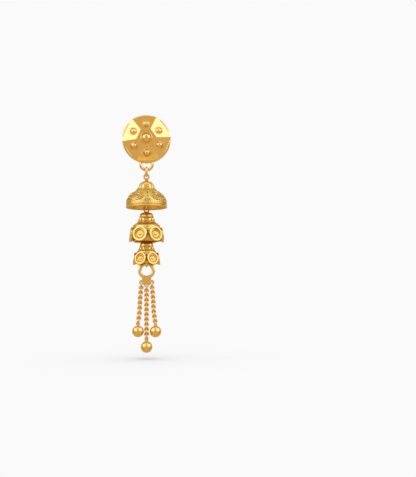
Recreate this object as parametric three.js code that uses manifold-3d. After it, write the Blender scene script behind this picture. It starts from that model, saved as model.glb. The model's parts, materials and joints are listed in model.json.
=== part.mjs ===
// A tiered drop earring in yellow gold, shown hanging: a six-faceted stud with a post and a screw back,
// a hollow bell, two smaller hollow drops set with medallions, and a tassel of three ball-ended chains.
// Millimetres, +Z up. The origin is where the post leaves the middle of the stud's flat back.
// The stud faces -Y, and everything that hangs from it is on one plumb line.
import * as THREE from "three";
import { mergeVertices } from "three/addons/utils/BufferGeometryUtils.js";
import Module from "manifold-3d";

const wasm = await Module();
wasm.setup();

// Driving dimensions

const LINK_GAP = 0.05; // air between two wires that hang in each other
const SOLDER_DEPTH = 0.06; // how far a soldered part is sunk into what it sits on

const STUD_RADIUS = 4.92;
const STUD_RIM = 0.9; // thickness at the middle of each facet's outer edge
const STUD_RISE = 1.1; // from there up to the flat crown
const STUD_CROWN = 1.75; // from the centre to a side of the six-sided crown
const STUD_FACETS = 6;
const FACET_TURN = 6; // degrees, counter-clockwise seen from the front, of the facets from straight up
const FACET_BOSS_TURN = 2; // degrees, the same for the bosses on them
const FACET_BOSS = { radius: 0.79, rise: 0.4 };
const FACET_BOSS_PLACE = 3.0; // from the centre of the stud to the middle of a facet's boss
const CENTRE_BOSS = { radius: 1.2, rise: 0.6 };

const POST_RADIUS = 0.45;
const POST_LENGTH = 10.5;
const LOBE_GAP = 5.0; // between the stud's back and the screw back
const SCREW_BACK_RADIUS = 2.6;
const SCREW_BACK_THICKNESS = 2.2;
const SCREW_BACK_CLEARANCE = 0.08; // between the post and the bore of the screw back

// Rings and links: radius is to the middle of the wire, wire is half the wire's thickness.
const STUD_RING = { radius: 1.165, wire: 0.3 };
const STUD_RING_DROP = 0.28; // from the stud's edge down to the middle of its ring
const HANGER_LINK = { radius: 0.92, wire: 0.23 };
const BELL_EYE = { radius: 0.51, wire: 0.18 };
const BELL_INNER_EYE = { radius: 0.46, wire: 0.18 };
const BELL_LINK = { radius: 0.8, wire: 0.2 };
const MIDDLE_LINK = { radius: 0.76, wire: 0.19 };
const TASSEL_LINK = { radius: 0.9, wire: 0.2 };
const HANG_SETBACK = 0.4; // the plumb line, in front of the stud's back

const BELL_DROP = 5.205; // from the upper eye to the inner eye
const BELL_NECK = { radius: 0.42, height: 0.6 }; // the small collar between the cap and the upper eye
const BELL_CAP_RADIUS = 1.8;
const BELL_CAP_HEIGHT = 1.55;
const BELL_RADIUS = 4.2;
const BELL_SHELL_HEIGHT = 3.8;
const BELL_WALL = 0.4;
const BELL_TURN = 4; // degrees, from the front towards +X
const BELL_ROSETTES = 6;
const ROSETTE = { radius: 0.95, rise: 0.24 };
const ROSETTE_PLACE = 0.36; // share of the shell's height
const GRAIN = [0.2, 0.22, 0.32]; // half width, rise and half height of a drop-shaped grain
const GRAIN_PLACES = [0.2, 0.38, 0.55]; // shares of the shell's height, between two rosettes
const STEM_RADIUS = 0.22;

// The two drops below the bell. Heights run from the top down; the medallions stand in a ring.
const MIDDLE_DROP = {
  eye: { radius: 0.46, wire: 0.17 },
  innerEye: { radius: 0.46, wire: 0.17 },
  drop: 4.16, // from the upper eye to the inner eye
  wall: 0.4,
  crownRadius: 1.42,
  crownHeight: 1.0,
  collarRadius: 1.72,
  collarHeight: 1.0,
  collarRibs: 12,
  shoulderHeight: 0.7,
  bodyRadius: 2.72,
  bodyHeight: 3.2,
  medallions: 6,
  medallion: { radius: 1.52, rise: 0.3 },
  medallionThickness: 0.5,
  medallionStand: 0.46, // of the medallion's middle, out from the body
  medallionPlace: 1.86, // of its middle, below the shoulder
  lean: 8, // degrees, the top of a medallion in towards the axis
  turn: 5.6, // degrees, from the front towards +X
};
const LOWER_DROP = {
  eye: { radius: 0.42, wire: 0.16 },
  innerEye: { radius: 0.42, wire: 0.18 },
  drop: 3.99,
  wall: 0.36,
  crownRadius: 1.37,
  crownHeight: 1.22,
  collarRadius: 1.6,
  collarHeight: 0.76,
  collarRibs: 12,
  shoulderHeight: 0.55,
  bodyRadius: 2.12,
  bodyHeight: 2.1,
  medallions: 6,
  medallion: { radius: 1.25, rise: 0.27 },
  medallionThickness: 0.46,
  medallionStand: 0.36,
  medallionPlace: 1.18,
  lean: 8,
  turn: 0,
};

const FAN_THICKNESS = 0.4;
const FAN_HOLE_RADIUS = 1.02;
const FAN_RING_WIDTH = 0.68; // of the flat ring around the large hole
const FAN_NECK_HALF_WIDTH = 0.9;
const FAN_NECK_DROP = 1.65; // from the middle of the large hole to the neck
const EAR_HOLE_RADIUS = 0.24;
const EAR_WEB = 0.28; // metal left around a chain's hole

const CHAIN_LINK = { radius: 0.335, wire: 0.105 };
const CHAIN_SOLDER = 0.02; // how far two links of a chain are run into each other
const CHAIN_TOP_LINK = { radius: 0.49, wire: 0.11 };
const BALL_RADIUS = 1.17;
const BALL_EYE = { radius: 0.26, wire: 0.09 };

// The chains' routes from the ears of the fan, as shares of the tassel's half width and its length:
// each row is a point that the middle of the wire passes, the last one the middle of the ball.
// x is from the plumb line, drop from the middle of the fan's large hole.
const TASSEL_HALF_WIDTH = 1.78; // to the middle of a side ball
const TASSEL_LENGTH = 15.25; // to the middle of the lowest ball
const CHAIN_ROUTES = {
  left: [
    { x: -0.573, drop: 0.154 },
    { x: -0.72, drop: 0.351 },
    { x: -0.79, drop: 0.534 },
    { x: -0.96, drop: 0.795 },
  ],
  middle: [
    { x: 0, drop: 0.1915 },
    { x: 0, drop: 1 },
  ],
  right: [
    { x: 0.607, drop: 0.154 },
    { x: 0.725, drop: 0.351 },
    { x: 0.81, drop: 0.534 },
    { x: 1, drop: 0.8 },
  ],
};

// Outlines, as shares of the radius and height that they belong to, from the top down
const CAP_OUTLINE = [
  { radius: 0.3, drop: 0 },
  { radius: 0.63, drop: 0.13 },
  { radius: 0.86, drop: 0.43 },
  { radius: 0.98, drop: 0.78 },
  { radius: 1, drop: 1 },
];
const SHELL_OUTLINE = [
  { radius: 0.46, drop: 0.04 },
  { radius: 0.55, drop: 0.12 },
  { radius: 0.73, drop: 0.26 },
  { radius: 0.876, drop: 0.47 },
  { radius: 0.94, drop: 0.66 },
  { radius: 0.96, drop: 0.78 },
  { radius: 0.995, drop: 0.81 },
  { radius: 0.98, drop: 0.89 },
  { radius: 1, drop: 1 },
];
const CROWN_OUTLINE = [
  { radius: 0.4, drop: 0 },
  { radius: 0.84, drop: 0.3 },
  { radius: 1, drop: 1 },
];
// A raised rim, a trough and a domed bead, from the edge inwards; the foot behind them is narrower.
const BOSS_OUTLINE = [
  { radius: 1, rise: 0 },
  { radius: 0.86, rise: 0.5 },
  { radius: 0.6, rise: 0.08 },
  { radius: 0.42, rise: 0.75 },
  { radius: 0, rise: 1 },
];
const BOSS_FOOT = 0.8;

// Number of sides
const DISC_SIDES = 36;
const SHELL_SIDES = 24;
const BOSS_SIDES = 10;
const MEDALLION_SIDES = 12;
const POST_SIDES = 12;
const NUT_SIDES = 20;
const LINK_SIDES = 12;
const EYE_SIDES = 10;
const WIRE_SIDES = 5;
const BALL_SIDES = 12;
const BALL_ROWS = 8;
const HOLE_SIDES = 10;

const radians = THREE.MathUtils.degToRad;

// Solids

function solidOf(geometry) {
  const bare = geometry.clone().deleteAttribute("normal").deleteAttribute("uv");
  const merged = mergeVertices(bare, 1e-5);
  return new wasm.Manifold(
    new wasm.Mesh({
      numProp: 3,
      vertProperties: merged.getAttribute("position").array,
      triVerts: new Uint32Array(merged.index.array),
    }),
  );
}

function geometryOf(solid) {
  const mesh = solid.getMesh();
  const geometry = new THREE.BufferGeometry();
  geometry.setAttribute("position", new THREE.BufferAttribute(mesh.vertProperties, 3));
  geometry.setIndex(new THREE.BufferAttribute(mesh.triVerts, 1));
  return geometry;
}

const joined = (solids) => solids.reduce((all, one) => all.add(one));

// A shape turned around Y. The outline's points are [radius, height], counter-clockwise with the
// radius to the right, so that its faces point outwards.
function turned(points, sides, start = 0) {
  const outline = points.map(([radius, height]) => new THREE.Vector2(radius, height));
  return new THREE.LatheGeometry(outline, sides, start);
}

const upright = (geometry) => geometry.rotateX(Math.PI / 2);

// A wire ring that faces the front. It has its radius at the top and bottom, where a flat side of the
// ring is, and a corner of its wire is turned inwards.
function frontRing({ radius, wire }, sides = LINK_SIDES) {
  const middle = radius / Math.cos(Math.PI / sides);
  const points = Array.from({ length: WIRE_SIDES }, (_, i) => {
    const angle = Math.PI + (2 * Math.PI * i) / WIRE_SIDES;
    return [middle + wire * Math.cos(angle), wire * Math.sin(angle)];
  });
  return turned([...points, points[0]], sides, Math.PI / sides);
}

const sideRing = (ring, sides) => frontRing(ring, sides).rotateZ(Math.PI / 2);

function rod(radius, bottom, top, sides) {
  return turned([[0, bottom], [radius, bottom], [radius, top], [0, top]], sides);
}

// A boss or medallion that faces -Y, its foot sunk behind y = 0.
function boss({ radius, rise }, sides, foot) {
  const rows = BOSS_OUTLINE.map((row) => [row.radius * radius, -row.rise * rise]);
  return turned([...rows.reverse(), [BOSS_FOOT * radius, foot], [0, foot]], sides);
}

// Where a ring hangs: its top wire lies over the bottom wire of the ring above it.
function hungOn(upper, ring) {
  const topWire = upper.centre - upper.radius + upper.wire + LINK_GAP + ring.wire;
  return { ...ring, centre: topWire - ring.radius };
}

// Places, from the stud down

const studRing = { ...STUD_RING, centre: -(STUD_RADIUS + STUD_RING_DROP) };
const hangerLink = hungOn(studRing, HANGER_LINK);
const bellEye = hungOn(hangerLink, BELL_EYE);
const bellInnerEye = { ...BELL_INNER_EYE, centre: bellEye.centre - BELL_DROP };
const bellLink = hungOn(bellInnerEye, BELL_LINK);
const middleEye = hungOn(bellLink, MIDDLE_DROP.eye);
const middleInnerEye = { ...MIDDLE_DROP.innerEye, centre: middleEye.centre - MIDDLE_DROP.drop };
const middleLink = hungOn(middleInnerEye, MIDDLE_LINK);
const lowerEye = hungOn(middleLink, LOWER_DROP.eye);
const lowerInnerEye = { ...LOWER_DROP.innerEye, centre: lowerEye.centre - LOWER_DROP.drop };
const tasselLink = hungOn(lowerInnerEye, TASSEL_LINK);
const fanHole = tasselLink.centre - tasselLink.radius + tasselLink.wire + LINK_GAP - FAN_HOLE_RADIUS;

// Stud

const facetSlope = Math.atan2(STUD_RISE, STUD_RADIUS - STUD_CROWN);

function studBody() {
  const crown = -(STUD_RIM + STUD_RISE);
  const corner = 1 / Math.cos(Math.PI / STUD_FACETS);
  const reach = (STUD_RADIUS - STUD_CROWN) * 2; // the pyramid is cut from a point well outside the disc
  const foot = crown + reach * Math.tan(facetSlope);
  const pyramid = turned(
    [[0, crown], [STUD_CROWN * corner, crown], [(STUD_CROWN + reach) * corner, foot], [0, foot]],
    STUD_FACETS,
    Math.PI / STUD_FACETS - radians(FACET_TURN),
  );
  const disc = rod(STUD_RADIUS, crown, 0, DISC_SIDES);
  return solidOf(disc).intersect(solidOf(pyramid));
}

function facetBosses() {
  const height = STUD_RIM + (STUD_RADIUS - FACET_BOSS_PLACE) * Math.tan(facetSlope);
  return Array.from({ length: STUD_FACETS }, (_, i) =>
    solidOf(
      boss(FACET_BOSS, BOSS_SIDES, SOLDER_DEPTH)
        .rotateX(-facetSlope)
        .translate(0, -height, FACET_BOSS_PLACE)
        .rotateY((2 * Math.PI * i) / STUD_FACETS - radians(FACET_BOSS_TURN)),
    ),
  );
}

function stud() {
  const centreBoss = boss(CENTRE_BOSS, BOSS_SIDES, SOLDER_DEPTH);
  centreBoss.translate(0, -(STUD_RIM + STUD_RISE), 0);
  return joined([
    studBody(),
    ...facetBosses(),
    solidOf(centreBoss),
    solidOf(rod(POST_RADIUS, -SOLDER_DEPTH, POST_LENGTH, POST_SIDES)),
    solidOf(frontRing(STUD_RING).translate(0, -HANG_SETBACK, studRing.centre)),
  ]);
}

function screwBack() {
  const bore = POST_RADIUS + SCREW_BACK_CLEARANCE;
  const end = LOBE_GAP + SCREW_BACK_THICKNESS;
  const bevel = SCREW_BACK_THICKNESS / 5;
  return solidOf(
    turned(
      [
        [bore, end],
        [SCREW_BACK_RADIUS - bevel, end],
        [SCREW_BACK_RADIUS, end - bevel],
        [SCREW_BACK_RADIUS, LOBE_GAP + bevel],
        [SCREW_BACK_RADIUS - bevel, LOBE_GAP],
        [bore, LOBE_GAP],
        [bore, end],
      ].reverse(),
      NUT_SIDES,
    ),
  );
}

// Bell

const bellNeckTop = bellEye.centre - bellEye.radius;
const bellTop = bellNeckTop - BELL_NECK.height;
const shellTop = bellTop - BELL_CAP_HEIGHT;

const scaled = (outline, radius, top, height) =>
  outline.map((row) => [row.radius * radius, top - row.drop * height]);

// The place and lean of a spot on the bell's shell, at a share of its height.
function onShell(share) {
  const next = SHELL_OUTLINE.findIndex((row) => row.drop >= share);
  const [above, below] = scaled(
    SHELL_OUTLINE.slice(next - 1, next + 1),
    BELL_RADIUS,
    shellTop,
    BELL_SHELL_HEIGHT,
  );
  const z = shellTop - share * BELL_SHELL_HEIGHT;
  const part = (above[1] - z) / (above[1] - below[1]);
  return {
    radius: THREE.MathUtils.lerp(above[0], below[0], part),
    z,
    lean: Math.atan2(below[0] - above[0], above[1] - below[1]),
  };
}

function spreadOnShell(geometry, share, turn) {
  const { radius, z, lean } = onShell(share);
  geometry.rotateX(-lean).translate(0, -radius, z);
  return Array.from({ length: BELL_ROSETTES }, (_, i) =>
    solidOf(geometry.clone().rotateZ(radians(BELL_TURN) + (2 * Math.PI * (i + turn)) / BELL_ROSETTES)),
  );
}

function bellShell() {
  const outer = [
    ...scaled(CAP_OUTLINE, BELL_CAP_RADIUS, bellTop, BELL_CAP_HEIGHT),
    ...scaled(SHELL_OUTLINE, BELL_RADIUS, shellTop, BELL_SHELL_HEIGHT),
  ];
  const rim = shellTop - BELL_SHELL_HEIGHT;
  const inner = [
    [BELL_RADIUS - BELL_WALL, rim],
    [BELL_RADIUS * 0.92 - BELL_WALL, shellTop - BELL_SHELL_HEIGHT * 0.66],
    [BELL_RADIUS * 0.84 - BELL_WALL, shellTop - BELL_SHELL_HEIGHT * 0.47],
    [BELL_RADIUS * 0.66 - BELL_WALL, shellTop - BELL_SHELL_HEIGHT * 0.26],
    [BELL_CAP_RADIUS - BELL_WALL, shellTop],
    [BELL_CAP_RADIUS * 0.8 - BELL_WALL, bellTop - BELL_CAP_HEIGHT * 0.5 - BELL_WALL / 2],
    [0, bellTop - BELL_WALL * 1.5],
  ];
  return solidOf(upright(turned([[0, bellTop], ...outer, ...inner].reverse(), SHELL_SIDES)));
}

function bell() {
  const stemTop = bellTop - BELL_WALL;
  const stemFoot = bellInnerEye.centre + bellInnerEye.radius;
  return joined([
    bellShell(),
    ...spreadOnShell(boss(ROSETTE, BOSS_SIDES, SOLDER_DEPTH * 2), ROSETTE_PLACE, 0.5),
    ...GRAIN_PLACES.flatMap((place) =>
      spreadOnShell(new THREE.OctahedronGeometry(1).scale(...GRAIN), place, 0),
    ),
    solidOf(frontRing(BELL_EYE, EYE_SIDES).translate(0, 0, bellEye.centre)),
    solidOf(upright(rod(BELL_NECK.radius, bellTop - SOLDER_DEPTH, bellNeckTop, WIRE_SIDES))),
    solidOf(upright(rod(STEM_RADIUS, stemFoot, stemTop, WIRE_SIDES))),
    solidOf(frontRing(BELL_INNER_EYE, EYE_SIDES).translate(0, 0, bellInnerEye.centre)),
  ]);
}

// Drops with medallions

function ribbedCollar(spec, top) {
  const around = (radii) =>
    Array.from({ length: 2 * spec.collarRibs }, (_, i) => {
      const angle = (Math.PI * i) / spec.collarRibs;
      const radius = radii[i % 2];
      return new THREE.Vector2(radius * Math.cos(angle), radius * Math.sin(angle));
    });
  const groove = (spec.collarRadius + spec.crownRadius) / 2;
  const inside = spec.crownRadius - spec.wall / 2;
  const shape = new THREE.Shape(around([spec.collarRadius, groove]));
  shape.holes.push(new THREE.Path(around([inside, inside])));
  const depth = spec.collarHeight + SOLDER_DEPTH;
  return new THREE.ExtrudeGeometry(shape, { depth, bevelEnabled: false }).translate(0, 0, top - depth);
}

function medallions(spec, shoulderFoot) {
  const one = boss(spec.medallion, MEDALLION_SIDES, spec.medallionThickness)
    .rotateX(-radians(spec.lean))
    .translate(0, -(spec.bodyRadius + spec.medallionStand), shoulderFoot - spec.medallionPlace);
  return Array.from({ length: spec.medallions }, (_, i) =>
    solidOf(one.clone().rotateZ(radians(spec.turn) + (2 * Math.PI * (i + 0.5)) / spec.medallions)),
  );
}

function medallionDrop(spec, eye, innerEye) {
  const top = eye.centre - eye.radius;
  const collarTop = top - spec.crownHeight;
  const collarFoot = collarTop - spec.collarHeight;
  const shoulderFoot = collarFoot - spec.shoulderHeight;
  const foot = shoulderFoot - spec.bodyHeight;
  const shell = [
    [0, top],
    ...scaled(CROWN_OUTLINE, spec.crownRadius, top, spec.crownHeight),
    [spec.crownRadius, collarFoot],
    [spec.collarRadius + SOLDER_DEPTH, collarFoot],
    [spec.bodyRadius, shoulderFoot],
    [spec.bodyRadius, foot],
    [spec.bodyRadius - spec.wall, foot],
    [spec.bodyRadius - spec.wall, shoulderFoot - spec.wall / 2],
    [spec.collarRadius - spec.wall, collarFoot - spec.wall / 2],
    [spec.crownRadius - spec.wall, collarTop],
    [0, top - spec.wall * 2],
  ];
  return joined([
    solidOf(upright(turned(shell.reverse(), SHELL_SIDES))),
    solidOf(ribbedCollar(spec, collarTop)),
    ...medallions(spec, shoulderFoot),
    solidOf(frontRing(eye, EYE_SIDES).translate(0, 0, eye.centre)),
    solidOf(upright(rod(STEM_RADIUS, innerEye.centre + innerEye.radius, top - spec.wall, WIRE_SIDES))),
    solidOf(frontRing(innerEye, EYE_SIDES).translate(0, 0, innerEye.centre)),
  ]);
}

// Tassel

// A plate facing the front, of the fan's thickness, from an outline in X and Z.
function plate(shape, thickness = FAN_THICKNESS) {
  return solidOf(
    new THREE.ExtrudeGeometry(shape, { depth: thickness, bevelEnabled: false })
      .translate(0, 0, -thickness / 2)
      .rotateX(Math.PI / 2),
  );
}

function roundPlate(x, z, radius, sides, thickness) {
  const points = Array.from({ length: sides }, (_, i) => {
    const angle = (2 * Math.PI * (i + 0.5)) / sides;
    return new THREE.Vector2(x + radius * Math.cos(angle), z + radius * Math.sin(angle));
  });
  return plate(new THREE.Shape(points), thickness);
}

const onRoute = ({ x, drop }) =>
  new THREE.Vector3(x * TASSEL_HALF_WIDTH, 0, fanHole - drop * TASSEL_LENGTH);
const chainRoutes = Object.fromEntries(
  Object.entries(CHAIN_ROUTES).map(([side, rows]) => [side, rows.map(onRoute)]),
);

function tasselFan() {
  const ears = Object.values(chainRoutes).map(([ear]) => ear);
  const earRadius = EAR_HOLE_RADIUS + EAR_WEB;
  const [left, middle, right] = ears;
  const neck = fanHole - FAN_NECK_DROP;
  const web = new THREE.Shape([
    new THREE.Vector2(-FAN_NECK_HALF_WIDTH, fanHole - FAN_HOLE_RADIUS),
    new THREE.Vector2(-FAN_NECK_HALF_WIDTH, neck),
    new THREE.Vector2(left.x - earRadius * 0.7, left.z + earRadius * 0.7),
    new THREE.Vector2(left.x, left.z - earRadius * 0.6),
    new THREE.Vector2(middle.x - earRadius * 0.8, middle.z),
    new THREE.Vector2(middle.x + earRadius * 0.8, middle.z),
    new THREE.Vector2(right.x, right.z - earRadius * 0.6),
    new THREE.Vector2(right.x + earRadius * 0.7, right.z + earRadius * 0.7),
    new THREE.Vector2(FAN_NECK_HALF_WIDTH, neck),
    new THREE.Vector2(FAN_NECK_HALF_WIDTH, fanHole - FAN_HOLE_RADIUS),
  ]);
  const body = joined([
    roundPlate(0, fanHole, FAN_HOLE_RADIUS + FAN_RING_WIDTH, LINK_SIDES * 2),
    plate(web),
    ...ears.map(({ x, z }) => roundPlate(x, z, earRadius, HOLE_SIDES)),
  ]);
  const cutter = FAN_THICKNESS * 2;
  const holes = [
    roundPlate(0, fanHole, FAN_HOLE_RADIUS, LINK_SIDES * 2, cutter),
    ...ears.map(({ x, z }) => roundPlate(x, z, EAR_HOLE_RADIUS, HOLE_SIDES, cutter)),
  ];
  return holes.reduce((rest, hole) => rest.subtract(hole), body);
}

// How far the middle of a chain's top link lies below its hole, with the ear's web inside the link.
const TOP_LINK_DROP =
  EAR_HOLE_RADIUS +
  Math.sqrt((CHAIN_TOP_LINK.radius - CHAIN_TOP_LINK.wire) ** 2 - (FAN_THICKNESS / 2) ** 2) -
  LINK_GAP;

// The eye of the ball is half sunk in it.
const BALL_EYE_RISE = BALL_RADIUS + BALL_EYE.radius / 2;

// The places of a chain's links along its route, from its top link to the link that holds the ball.
function chainLinks(route) {
  const [ear, ...rest] = route;
  const top = ear.clone().setZ(ear.z - TOP_LINK_DROP);
  const ballEye = { ...BALL_EYE, centre: rest.at(-1).z + BALL_EYE_RISE };
  const lastWire = ballEye.centre + ballEye.radius - ballEye.wire - LINK_GAP - CHAIN_LINK.wire;
  const end = rest.at(-1).clone().setZ(lastWire + CHAIN_LINK.radius);
  const path = new THREE.CatmullRomCurve3([top, ...rest.slice(0, -1), end]);
  const length = path.getLength();
  const inside = CHAIN_LINK.radius - CHAIN_LINK.wire;
  const first = (CHAIN_TOP_LINK.radius - CHAIN_TOP_LINK.wire + inside + CHAIN_SOLDER) / length;
  const steps = Math.floor(((1 - first) * length) / (2 * inside + CHAIN_SOLDER));
  const places = Array.from({ length: steps + 1 }, (_, i) => {
    const along = first + (1 - first) * (i / steps);
    const tangent = path.getTangentAt(along);
    return { at: path.getPointAt(along), tilt: Math.atan2(-tangent.x, -tangent.z) };
  });
  return { top, places };
}

// Every second ring of a chain faces the front, the ones between are edge-on, and the top one too.
const chainRing = (ring, place) => (place % 2 === 0 ? frontRing : sideRing)(ring, EYE_SIDES);

function chain(route) {
  const { top, places } = chainLinks(route);
  const links = places.map(({ at, tilt }, i) =>
    solidOf(chainRing(CHAIN_LINK, i).rotateY(tilt).translate(at.x, 0, at.z)),
  );
  return joined([solidOf(sideRing(CHAIN_TOP_LINK, EYE_SIDES).translate(top.x, 0, top.z)), ...links]);
}

function ball(route) {
  const { x, z } = route.at(-1);
  const eye = chainRing(BALL_EYE, chainLinks(route).places.length).translate(0, 0, BALL_EYE_RISE);
  const sphere = new THREE.SphereGeometry(BALL_RADIUS, BALL_SIDES, BALL_ROWS).rotateX(Math.PI / 2);
  return joined([solidOf(sphere), solidOf(eye)]).translate([x, 0, z]);
}

// Assembly

const polishedGold = () => new THREE.MeshStandardMaterial({ color: 0xe8b64c, roughness: 0.18, metalness: 1 });
const grainedGold = () => new THREE.MeshStandardMaterial({ color: 0xd9a540, roughness: 0.34, metalness: 1 });

function named(name, solid, material) {
  const mesh = new THREE.Mesh(geometryOf(solid), material);
  mesh.name = name;
  return mesh;
}

const earring = new THREE.Group();
earring.add(named("stud", stud(), polishedGold()), named("screw_back", screwBack(), polishedGold()));

const hanging = new THREE.Group();
hanging.position.y = -HANG_SETBACK;
earring.add(hanging);

const links = { hanger_link: hangerLink, bell_link: bellLink, middle_link: middleLink, tassel_link: tasselLink };
for (const [name, link] of Object.entries(links)) {
  hanging.add(named(name, solidOf(sideRing(link).translate(0, 0, link.centre)), polishedGold()));
}
hanging.add(
  named("bell", bell(), grainedGold()),
  named("middle_drop", medallionDrop(MIDDLE_DROP, middleEye, middleInnerEye), grainedGold()),
  named("lower_drop", medallionDrop(LOWER_DROP, lowerEye, lowerInnerEye), grainedGold()),
  named("tassel_fan", tasselFan(), polishedGold()),
);
for (const [side, route] of Object.entries(chainRoutes)) {
  hanging.add(named("chain_" + side, chain(route), polishedGold()));
  hanging.add(named("ball_" + side, ball(route), polishedGold()));
}

export default earring;
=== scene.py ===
# %% [markdown]
# A tiered drop earring in yellow gold.
# A jeweller builds it from the top down: a faceted stud, a hollow bell, two smaller drops that
# carry round medallions, and a fan with three ball-ended chains. Fine rings link the tiers.
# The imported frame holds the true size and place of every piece. Here each one is modelled again
# with its ornament and given its finish.

# %% Load the frame
import json
import math
import bpy
from mathutils import Matrix, Vector

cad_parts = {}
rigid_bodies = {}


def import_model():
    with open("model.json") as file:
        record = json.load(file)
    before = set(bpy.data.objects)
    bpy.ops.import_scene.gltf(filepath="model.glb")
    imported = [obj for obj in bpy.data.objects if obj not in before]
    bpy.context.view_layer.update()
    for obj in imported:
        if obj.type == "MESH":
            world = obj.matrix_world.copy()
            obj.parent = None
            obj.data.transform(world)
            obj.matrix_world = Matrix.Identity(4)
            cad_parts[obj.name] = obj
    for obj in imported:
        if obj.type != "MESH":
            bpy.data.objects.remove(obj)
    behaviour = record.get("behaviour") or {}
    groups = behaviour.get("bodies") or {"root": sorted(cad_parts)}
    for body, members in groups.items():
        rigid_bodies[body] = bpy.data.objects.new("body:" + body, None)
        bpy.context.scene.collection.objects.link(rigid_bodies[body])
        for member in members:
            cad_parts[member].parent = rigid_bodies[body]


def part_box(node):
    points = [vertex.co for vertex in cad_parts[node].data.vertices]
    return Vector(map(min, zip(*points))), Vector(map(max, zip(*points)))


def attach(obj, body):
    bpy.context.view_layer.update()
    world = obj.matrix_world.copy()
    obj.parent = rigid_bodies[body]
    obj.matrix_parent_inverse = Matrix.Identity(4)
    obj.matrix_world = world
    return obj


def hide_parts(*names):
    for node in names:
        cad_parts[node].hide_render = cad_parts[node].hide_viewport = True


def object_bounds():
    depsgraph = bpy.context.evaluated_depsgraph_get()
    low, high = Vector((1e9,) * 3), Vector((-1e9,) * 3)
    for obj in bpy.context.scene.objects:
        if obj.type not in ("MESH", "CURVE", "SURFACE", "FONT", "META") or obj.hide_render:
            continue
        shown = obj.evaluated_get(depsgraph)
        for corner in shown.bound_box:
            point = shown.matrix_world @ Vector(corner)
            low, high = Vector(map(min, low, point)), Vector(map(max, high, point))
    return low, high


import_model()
cad_low, cad_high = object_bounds()
print("frame", [round(1000 * v, 1) for v in (*cad_low, *cad_high)], "mm")

# %% [markdown]
# Blender works in metres, and a grain of gold here is a tenth of a millimetre. Thresholds and
# bevels behave better near 1, so each piece is modelled in millimetres and made a thousand times
# smaller when it is finished. `box_mm` reads a node's corners in millimetres, and `plumb` is the
# line that all the drops hang on.

# %% Units and places
MM = 0.001


def box_mm(node):
    """The lowest and the highest corner of a node, in millimetres."""
    low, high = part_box(node)
    return Vector(low) / MM, Vector(high) / MM


def span(node):
    """The middle, the half width and the lowest and highest point of a node, in millimetres."""
    low, high = box_mm(node)
    return (low + high) / 2, (high.x - low.x) / 2, low.z, high.z


plumb = span("bell")[0].y
print("plumb line at y =", round(plumb, 3), "mm")

# %% [markdown]
# Every operator acts on what is selected, and loading left the frame's nodes selected. So each
# helper starts by selecting only its own object. `finish` puts the piece into the frame: it
# applies the place to the mesh, scales it to metres, gives it a material and says which node it
# stands for and which body carries it. It prints how far the piece reaches past its node.

# %% Helpers for selecting and finishing
def only(*objects):
    """Leaves edit mode and selects these objects alone; the first one is the active one."""
    if bpy.context.object and bpy.context.object.mode != "OBJECT":
        bpy.ops.object.mode_set(mode="OBJECT")
    bpy.ops.object.select_all(action="DESELECT")
    for one in objects:
        one.select_set(True)
    bpy.context.view_layer.objects.active = objects[0]


def edit(one, everything=True):
    """Opens edit mode on one object, with all of its points selected or none."""
    only(one)
    bpy.ops.object.mode_set(mode="EDIT")
    bpy.ops.mesh.select_mode(type="VERT")
    bpy.ops.mesh.select_all(action="SELECT" if everything else "DESELECT")


def select_faces(one, test):
    """Selects the faces whose middle and normal pass the test, and opens edit mode on them."""
    edit(one, everything=False)
    bpy.ops.mesh.select_mode(type="FACE")
    bpy.ops.object.mode_set(mode="OBJECT")
    for face in one.data.polygons:
        face.select = bool(test(face.center, face.normal))
    bpy.ops.object.mode_set(mode="EDIT")


def settled(one):
    """Moves the object's place, turn and size into its mesh."""
    only(one)
    bpy.ops.object.transform_apply(location=True, rotation=True, scale=True)
    return one


def modifier(one, kind, **settings):
    """Adds a modifier, sets it up and applies it."""
    only(one)
    bpy.ops.object.modifier_add(type=kind)
    added = one.modifiers[-1]
    for name, value in settings.items():
        setattr(added, name, value)
    bpy.ops.object.modifier_apply(modifier=added.name)
    return one


def rounded(one, levels=2):
    """Rounds a shape over with a subdivision surface."""
    return modifier(one, "SUBSURF", levels=levels, render_levels=levels)


def faces_out(one):
    """Closes the seam of a spun mesh and turns its faces outwards."""
    edit(one)
    bpy.ops.mesh.remove_doubles(threshold=1e-4)
    bpy.ops.mesh.normals_make_consistent(inside=False)
    bpy.ops.object.mode_set(mode="OBJECT")
    return one


def fused(name, parts):
    """Joins finished parts into one piece, as soldering does."""
    only(*parts)
    bpy.ops.object.join()
    parts[0].name = name
    return parts[0]


def copies(one, places):
    """A copy with a mesh of its own for each matrix; the first shape goes once they are made."""
    made = []
    for place in places:
        only(one)
        bpy.ops.object.duplicate(linked=False)
        made.append(bpy.context.object)
        made[-1].matrix_world = place @ one.matrix_world
        settled(made[-1])
    only(one)
    bpy.ops.object.delete()
    return made


def arrayed(one, places):
    """Many small copies in one mesh: the points are copied straight into a new mesh, so it stays quick."""
    shape = settled(one).data
    joined = bpy.data.meshes.new(one.name)
    points, faces = [], []
    for place in places:
        start = len(points)
        points += [place @ vertex.co for vertex in shape.vertices]
        faces += [[start + i for i in face.vertices] for face in shape.polygons]
    joined.from_pydata(points, [], faces)
    one.data = joined
    only(one)
    bpy.ops.object.shade_smooth()
    return one


def around(count, turn=0.0, radius=0.0, height=0.0, lean=0.0):
    """Places on a ring around the plumb line. Each faces out; turn and lean are in degrees."""
    for i in range(count):
        yield (
            Matrix.Rotation(math.radians(turn + 360 * i / count), 4, "Z")
            @ Matrix.Translation((0, -radius, height))
            @ Matrix.Rotation(math.radians(-lean), 4, "X")
        )


def smooth(one, angle=40):
    """Smooth shading, with an edge kept wherever two faces meet at more than the angle."""
    only(one)
    bpy.ops.object.shade_smooth_by_angle(angle=math.radians(angle))
    return one


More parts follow.
